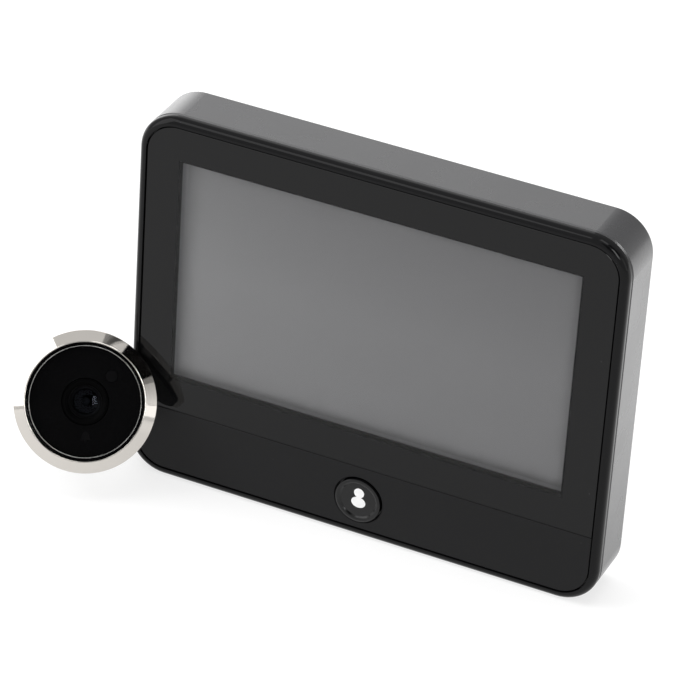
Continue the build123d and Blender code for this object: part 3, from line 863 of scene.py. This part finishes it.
# Iris and small inner lens seen through the front glass
irisLook = {
    "plate": (
        (0.95, -3.05),
        (0.95, -2.75),
        (1.25, -2.55),
        (2.3, -2.35),
        (3.05, -2.3),
        (3.05, -3.05),
    ),
    "innerLens": (
        (0.02, -2.62),
        (0.35, -2.65),
        (0.7, -2.75),
        (0.93, -2.9),
        (0.93, -3.0),
        (0.02, -3.0),
    ),
}
makePiece(
    "lens_iris",
    turnedMesh("lens_iris", irisLook["plate"]),
    "lensHousing",
    "camera_unit",
)
# The inner lens is a lighter grey than the face round it: painted highlight, standing in for the
# ring of light on its dome
makePiece(
    "inner_lens",
    turnedMesh("inner_lens", irisLook["innerLens"], 48),
    "switchPlastic",
    "camera_unit",
)
print("signs and lens details made")


# Geometry Nodes helpers: a tree with named inputs, run once into a plain mesh
def startTree(name, inputs):
    tree = bpy.data.node_groups.new(name, "GeometryNodeTree")
    tree.interface.new_socket("Geometry", in_out="OUTPUT", socket_type="NodeSocketGeometry")
    for label, kind, value in inputs:
        socket = tree.interface.new_socket(label, in_out="INPUT", socket_type=kind)
        if value is not None:
            socket.default_value = value
    return tree, addNode(tree, "NodeGroupInput"), addNode(tree, "NodeGroupOutput")


def runTree(tree, values):
    holder = bpy.data.objects.new(tree.name, bpy.data.meshes.new(tree.name))
    bpy.context.scene.collection.objects.link(holder)
    modifier = holder.modifiers.new("build", "NODES")
    modifier.node_group = tree
    for item in tree.interface.items_tree:
        if item.item_type == "SOCKET" and item.in_out == "INPUT" and item.name in values:
            modifier[item.identifier] = values[item.name]
    bpy.context.view_layer.update()
    graph = bpy.context.evaluated_depsgraph_get()
    mesh = bpy.data.meshes.new_from_object(holder.evaluated_get(graph))
    holder.modifiers.remove(modifier)
    bpy.data.objects.remove(holder)
    return mesh


def finishTree(tree, output, geometry, finish):
    realize = addNode(tree, "GeometryNodeRealizeInstances")
    paint = addNode(tree, "GeometryNodeSetMaterial")
    paint.inputs["Material"].default_value = materials[finish]
    link(tree, geometry, realize.inputs["Geometry"])
    link(tree, realize.outputs["Geometry"], paint.inputs["Geometry"])
    link(tree, paint.outputs["Geometry"], output.inputs["Geometry"])


# Copies of one piece of geometry at every point of another
def copiesAt(tree, points, instance):
    copies = addNode(tree, "GeometryNodeInstanceOnPoints")
    link(tree, points, copies.inputs["Points"])
    link(tree, instance, copies.inputs["Instance"])
    return copies


# The barrel: a plain tube at its thread's root, and the thread wound round it
barrelLook = {
    "bore": 6.15,
    "shankRadius": 6.75,
    "rootRadius": 6.62,
    "front": -1.4,
    "threadStart": -16.5,
    "relief": 0.15,
    "threadGapFront": 0.5,
    "threadGapRear": 0.2,
    "rear": -31.9,
    "chamfer": 0.4,
    "pitch": 1.0,
    "crestRadius": 6.98,
    "ridgeWidth": 0.94,
    "stepsPerTurn": 64,
    "segments": 128,
}


def makeBarrel(look):
    profile = (
        (look["bore"], look["front"]),
        (look["shankRadius"], look["front"]),
        (look["shankRadius"], look["threadStart"]),
        (look["rootRadius"], look["threadStart"] - look["relief"]),
        (look["rootRadius"], look["rear"] + look["chamfer"]),
        (look["rootRadius"] - look["chamfer"], look["rear"]),
        (look["bore"], look["rear"]),
    )
    tubeMesh = turnedMesh("barrel_tube", profile, look["segments"])
    tube = makePiece("barrel_tube", tubeMesh, "chrome", "camera_unit")
    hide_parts("threaded_barrel")
    threadRear = look["rear"] + look["chamfer"] + look["threadGapRear"]
    length = look["threadStart"] - look["threadGapFront"] - threadRear
    tree, source, output = startTree(
        "barrelThread",
        (
            ("Turns", "NodeSocketFloat", 1.0),
            ("Radius", "NodeSocketFloat", 1.0),
            ("Length", "NodeSocketFloat", 1.0),
            ("Steps", "NodeSocketInt", look["stepsPerTurn"]),
            ("Ridge", "NodeSocketFloat", 1.0),
        ),
    )
    spiral = addNode(tree, "GeometryNodeCurveSpiral")
    for name, socket in (
        ("Steps", "Resolution"),
        ("Turns", "Rotations"),
        ("Radius", "Start Radius"),
        ("Radius", "End Radius"),
        ("Length", "Height"),
    ):
        link(tree, source.outputs[name], spiral.inputs[socket])
    upright = addNode(tree, "GeometryNodeSetCurveNormal", mode="Z_UP")
    link(tree, spiral.outputs["Curve"], upright.inputs["Curve"])
    ridge = addNode(tree, "GeometryNodeCurvePrimitiveCircle", mode="RADIUS")
    ridge.inputs["Resolution"].default_value = 3  # a three-sided ridge
    link(tree, source.outputs["Ridge"], ridge.inputs["Radius"])
    sweep = addNode(tree, "GeometryNodeCurveToMesh")
    sweep.inputs["Fill Caps"].default_value = True
    link(tree, upright.outputs["Curve"], sweep.inputs["Curve"])
    link(tree, ridge.outputs["Curve"], sweep.inputs["Profile Curve"])
    finishTree(tree, output, sweep.outputs["Mesh"], "chrome")
    ridgeRadius = look["ridgeWidth"] / math.sqrt(3)
    mesh = runTree(
        tree,
        {
            "Turns": length / look["pitch"],
            "Radius": (look["crestRadius"] - ridgeRadius) * mm,
            "Length": length * mm,
            "Steps": look["stepsPerTurn"],
            "Ridge": ridgeRadius * mm,
        },
    )
    mesh.transform(toUnit @ Matrix.Translation((0, 0, threadRear * mm)))
    makePiece("barrel_thread", mesh, "chrome", "camera_unit")


makeBarrel(barrelLook)

# Four case screws with cross recesses, set by Geometry Nodes at the CAD screws' places
caseScrew = {
    "headRadius": 1.75,
    "headHeight": 1.2,
    "shankRadius": 0.9,
    "shankLength": 6.9,
    "crossReach": 1.0,
    "crossWidth": 0.42,
    "crossDepth": 0.7,
    "crossTaper": 0.55,
    "crownRound": 0.25,
    "tipShare": 0.5,
    "tipLength": 0.6,
    "segments": 40,
    "seed": 4,
}


# One screw with its head up along Z, seat at zero, recess sunk into the head
def screwMesh(look):
    def build(work):
        count = look["segments"]
        rounded = look["crownRound"]

        def ring(radius, height):
            return [
                work.verts.new(
                    Vector(
                        (
                            radius * math.cos(2 * math.pi * step / count),
                            radius * math.sin(2 * math.pi * step / count),
                            height,
                        )
                    )
                    * mm
                )
                for step in range(count)
            ]

        def bridge(first, second):
            for index in range(count):
                after = (index + 1) % count
                work.faces.new((first[index], first[after], second[after], second[index]))

        tip = ring(look["shankRadius"] * look["tipShare"], -look["shankLength"])
        shank = ring(look["shankRadius"], look["tipLength"] - look["shankLength"])
        neck = ring(look["shankRadius"], 0)
        seat = ring(look["headRadius"], 0)
        side = ring(look["headRadius"], look["headHeight"] - rounded)
        crown = ring(look["headRadius"] - rounded, look["headHeight"])
        rings = (tip, shank, neck, seat, side, crown)
        for first, second in zip(rings, rings[1:]):
            bridge(first, second)
        work.faces.new(list(reversed(tip)))
        arm, half = look["crossReach"], look["crossWidth"] / 2
        outline = []
        for quarter in range(4):
            turn = Matrix.Rotation(quarter * math.pi / 2, 2)
            for point in ((arm, -half), (arm, half), (half, half)):
                outline.append(turn @ Vector(point))
        height, taper = look["headHeight"], look["crossTaper"]
        depth = height - look["crossDepth"]
        top = [work.verts.new(Vector((x, y, height)) * mm) for x, y in outline]
        floor = [work.verts.new(Vector((x * taper, y * taper, depth)) * mm) for x, y in outline]
        for index in range(len(top)):
            after = (index + 1) % len(top)
            work.faces.new((top[index], top[after], floor[after], floor[index]))
        work.faces.new(floor)
        edges = []
        for loop in (crown, top):
            for index, vertex in enumerate(loop):
                edge = work.edges.get((vertex, loop[(index + 1) % len(loop)]))
                edges.append(edge)
        bmesh.ops.triangle_fill(work, use_beauty=True, use_dissolve=False, edges=edges)

    return meshFrom("caseScrew", build)


def makeCaseScrews(look):
    pattern = bpy.data.objects.new("caseScrewPattern", screwMesh(look))
    tree, source, output = startTree(
        "caseScrewSet",
        (
            ("Screw", "NodeSocketObject", None),
            ("Width", "NodeSocketFloat", 1.0),
            ("Height", "NodeSocketFloat", 1.0),
            ("Seed", "NodeSocketInt", look["seed"]),
        ),
    )
    grid = addNode(tree, "GeometryNodeMeshGrid")
    grid.inputs["Vertices X"].default_value = 2
    grid.inputs["Vertices Y"].default_value = 2
    link(tree, source.outputs["Width"], grid.inputs["Size X"])
    link(tree, source.outputs["Height"], grid.inputs["Size Y"])
    screw = addNode(tree, "GeometryNodeObjectInfo")
    link(tree, source.outputs["Screw"], screw.inputs["Object"])
    turn = addNode(tree, "FunctionNodeRandomValue", data_type="FLOAT")
    turn.inputs["Max"].default_value = math.pi / 2
    link(tree, source.outputs["Seed"], turn.inputs["Seed"])
    angles = addNode(tree, "ShaderNodeCombineXYZ")
    link(tree, turn.outputs[1], angles.inputs["Z"])  # output 1 is the single number
    copies = copiesAt(tree, grid.outputs["Mesh"], screw.outputs["Geometry"])
    link(tree, angles.outputs["Vector"], copies.inputs["Rotation"])
    finishTree(tree, output, copies.outputs["Instances"], "screwSteel")
    low, high = (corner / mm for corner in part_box("housing_screws"))
    mesh = runTree(
        tree,
        {
            "Screw": pattern,
            "Width": (high.x - low.x - 2 * look["headRadius"]) * mm,
            "Height": (high.z - low.z - 2 * look["headRadius"]) * mm,
            "Seed": look["seed"],
        },
    )
    seat = Vector(((low.x + high.x) / 2, high.y - look["headHeight"], (low.z + high.z) / 2))
    mesh.transform(Matrix.Translation(seat * mm) @ Matrix.Rotation(-math.pi / 2, 4, "X"))
    bpy.data.objects.remove(pattern)
    screws = makePiece("case_screws", mesh, "screwSteel", "monitor")
    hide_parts("housing_screws")


makeCaseScrews(caseScrew)

# Gold contacts on the charging socket's tongue
socketContacts = {
    "count": 5,
    "pitch": 1.05,
    "width": 0.5,
    "length": 4.2,
    "thickness": 0.06,
    "inset": 0.45,
    "tongueShare": 0.25,  # the tongue's part of the socket's thickness
}


def makeSocketContacts(look):
    low, high = (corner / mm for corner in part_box("usb_socket"))
    tree, source, output = startTree(
        "socketContactRow",
        (
            ("Count", "NodeSocketInt", look["count"]),
            ("Pitch", "NodeSocketVector", None),
            ("Size", "NodeSocketVector", None),
        ),
    )
    line = addNode(tree, "GeometryNodeMeshLine")
    link(tree, source.outputs["Count"], line.inputs["Count"])
    link(tree, source.outputs["Pitch"], line.inputs["Offset"])
    contact = addNode(tree, "GeometryNodeMeshCube")
    link(tree, source.outputs["Size"], contact.inputs["Size"])
    copies = copiesAt(tree, line.outputs["Mesh"], contact.outputs["Mesh"])
    finishTree(tree, output, copies.outputs["Instances"], "gold")
    tongue = (high.y - low.y) * look["tongueShare"]
    mesh = runTree(
        tree,
        {
            "Count": look["count"],
            "Pitch": (0, 0, look["pitch"] * mm),
            "Size": (
                look["length"] * mm,
                (tongue + 2 * look["thickness"]) * mm,
                look["width"] * mm,
            ),
        },
    )
    start = Vector(
        (
            low.x + look["inset"] + look["length"] / 2,
            (low.y + high.y) / 2,
            (low.z + high.z) / 2 - look["pitch"] * (look["count"] - 1) / 2,
        )
    )
    mesh.transform(Matrix.Translation(start * mm))
    return makePiece("socket_contacts", mesh, "gold", "monitor")


makeSocketContacts(socketContacts)
print("screws, thread and contacts made")

# Floor: white where the camera, gloss and glass look at it, with the object's shadow kept
floorLook = {
    "half": 3.0,  # metres
    "colour": (0.80, 0.80, 0.80),
    "ownLight": 0.70,
    "shadowShare": 0.32,
    "glossFront": 0.87,  # what gloss sees before the object, 1 being white
    "glossBack": 1.65,  # and behind it
    "glossSpan": (-0.03, 0.08),  # metres from front to back
}


def makeFloor(look):
    material, tree = startMaterial("studioFloor")
    diffuse = addNode(tree, "ShaderNodeBsdfDiffuse")
    diffuse.inputs["Color"].default_value = (*look["colour"], 1)
    shown = addNode(tree, "ShaderNodeBsdfDiffuse")
    share = look["shadowShare"]
    shown.inputs["Color"].default_value = (share, share, share, 1)
    glow = addNode(tree, "ShaderNodeEmission")
    place = addNode(tree, "ShaderNodeSeparateXYZ")
    link(tree, objectPoint(tree), place.inputs["Vector"])
    inGloss = spread(
        tree,
        place.outputs["Y"],
        look["glossFront"] - share,
        look["glossBack"] - share,
        *look["glossSpan"],
    )
    strength = addNode(tree, "ShaderNodeMix", data_type="FLOAT")
    path = addNode(tree, "ShaderNodeLightPath")
    link(tree, path.outputs["Is Camera Ray"], strength.inputs["Factor"])
    link(tree, inGloss, strength.inputs["A"])
    strength.inputs["B"].default_value = look["ownLight"]
    link(tree, strength.outputs["Result"], glow.inputs["Strength"])
    lit = addNode(tree, "ShaderNodeAddShader")
    link(tree, shown.outputs["BSDF"], lit.inputs[0])
    link(tree, glow.outputs["Emission"], lit.inputs[1])
    surface = mixShaders(tree, seenDirectly(tree), diffuse.outputs["BSDF"], lit.outputs["Shader"])
    back = addNode(tree, "ShaderNodeNewGeometry").outputs["Backfacing"]
    clear = addNode(tree, "ShaderNodeBsdfTransparent")
    endMaterial(tree, mixShaders(tree, back, surface, clear.outputs["BSDF"]))
    mesh = bpy.data.meshes.new("studio_floor")
    half = look["half"]
    corners = [(-half, -half, 0), (half, -half, 0), (half, half, 0), (-half, half, 0)]
    mesh.from_pydata(corners, [], [(0, 1, 2, 3)])
    mesh.materials.append(material)
    floor = bpy.data.objects.new("studio_floor", mesh)
    bpy.context.scene.collection.objects.link(floor)


# One where a camera, glossy or transmission ray arrives, zero for the light itself
def seenDirectly(tree):
    path = addNode(tree, "ShaderNodeLightPath")
    total = path.outputs["Is Camera Ray"]
    for name in ("Is Glossy Ray", "Is Transmission Ray"):
        total = calculate(tree, "MAXIMUM", total, path.outputs[name])
    return total


makeFloor(floorLook)

# World: white behind the object, a little darker as a light
worldLook = {
    "shown": 1.0,
    "inGloss": 0.95,
    "light": 0.62,
}


def makeWorld(look):
    world = bpy.data.worlds.new("studioWorld")
    world.use_nodes = True
    tree = world.node_tree
    tree.nodes.clear()
    background = addNode(tree, "ShaderNodeBackground")
    path = addNode(tree, "ShaderNodeLightPath")
    levels = [
        spread(tree, path.outputs[ray], look["light"], look[seen], 0, 1)
        for ray, seen in (("Is Camera Ray", "shown"), ("Is Glossy Ray", "inGloss"))
    ]
    link(tree, calculate(tree, "MAXIMUM", *levels), background.inputs["Strength"])
    output = addNode(tree, "ShaderNodeOutputWorld")
    link(tree, background.outputs["Background"], output.inputs["Surface"])
    bpy.context.scene.world = world


makeWorld(worldLook)

# Softboxes, each aimed at the camera unit; places and sizes in metres
studioLights = {
    "top": {"place": (-0.15, 0.15, 1.1), "size": (1.1, 0.9), "power": 9.0, "inGloss": False},
    "fill": {"place": (-0.95, -0.35, 0.62), "size": (0.9, 0.8), "power": 10.5, "inGloss": False},
    "right": {"place": (0.63, -0.63, 0.60), "size": (0.25, 0.45), "power": 2.4, "inGloss": True},
    "back": {"place": (-0.42, 1.0, 0.72), "size": (1.2, 0.8), "power": 2.2, "inGloss": True},
}


# Turned so that its back points away from the aim and its length lies along a direction
def facing(place, aim, length=(0, 0, 1)):
    back = (Vector(place) - aim).normalized()
    side = Vector(length).cross(back).normalized()
    return Matrix((side, back.cross(side), back)).transposed()


def makeLights(lights):
    aim = Vector(unitFrame["centre"]) * mm
    for name, look in lights.items():
        data = bpy.data.lights.new(name + "Softbox", "AREA")
        data.shape = "RECTANGLE"
        data.size, data.size_y = look["size"]
        data.energy = look["power"]
        light = bpy.data.objects.new(name + "Softbox", data)
        light.location = look["place"]
        light.rotation_euler = facing(look["place"], aim).to_euler()
        light.visible_glossy = look["inGloss"]
        bpy.context.scene.collection.objects.link(light)


makeLights(studioLights)

# Cards that only gloss sees: the pale and dark sides of the studio round the object.
# Places and sizes in metres; level is what a mirror shows, 1 being white.
studioCards = {
    "lens": {"towardsCamera": 1.25, "size": (0.62, 0.62), "level": 0.001},
    "left": {
        "place": (-0.729, -0.486, 0.507),
        "size": (0.52, 1.10),
        "level": 2.4,
        "length": (-0.498, -0.579, -0.646),
    },
    "rim": {"place": (0.89, -0.12, 0.27), "size": (0.35, 0.45), "level": 1.5},
    "side": {
        "place": (0.555, -0.269, 0.762),
        "size": (0.36, 0.63),
        "level": 0.004,
        "length": (0.751, 0.108, -0.651),
    },
    "lid": {
        "place": (0.21, -0.26, 0.95),
        "size": (0.30, 0.30),
        "level": 3.2,
        "length": (0.915, -0.183, -0.358),
    },
    "seam": {"place": (-0.395, -0.549, 0.802), "size": (0.4, 0.4), "level": 2.7},
    "far": {"place": (-0.68, 0.62, 0.22), "size": (0.5, 0.5), "level": 2.6},
    "corner": {"place": (0.16, 0.72, 0.47), "size": (0.62, 0.66), "level": 0.58},
}


def makeCard(name, look):
    material, tree = startMaterial(name + "Card")
    material.cycles.emission_sampling = "NONE"
    shader = addNode(tree, "ShaderNodeEmission")
    shader.inputs["Strength"].default_value = look["level"]
    endMaterial(tree, shader.outputs["Emission"])
    aim = Vector(unitFrame["centre"]) * mm
    if "place" in look:
        place = Vector(look["place"])
    else:
        place = aim + (camera.location - aim).normalized() * look["towardsCamera"]
    width, length = look["size"]
    corners = [(x * width / 2, y * length / 2, 0) for x, y in ((-1, -1), (1, -1), (1, 1), (-1, 1))]
    mesh = bpy.data.meshes.new(name + "_card")
    mesh.from_pydata(corners, [], [(0, 1, 2, 3)])
    turned = facing(place, aim, look.get("length", (0, 0, 1))).to_4x4()
    mesh.transform(Matrix.Translation(place) @ turned)
    mesh.materials.append(material)
    card = bpy.data.objects.new(name + "_card", mesh)
    bpy.context.scene.collection.objects.link(card)
    card.visible_camera = False
    card.visible_diffuse = False
    card.visible_transmission = False
    card.visible_shadow = False


for cardName, cardLook in studioCards.items():
    makeCard(cardName, cardLook)

bpy.context.scene.view_settings.view_transform = "Standard"
print("studio made")
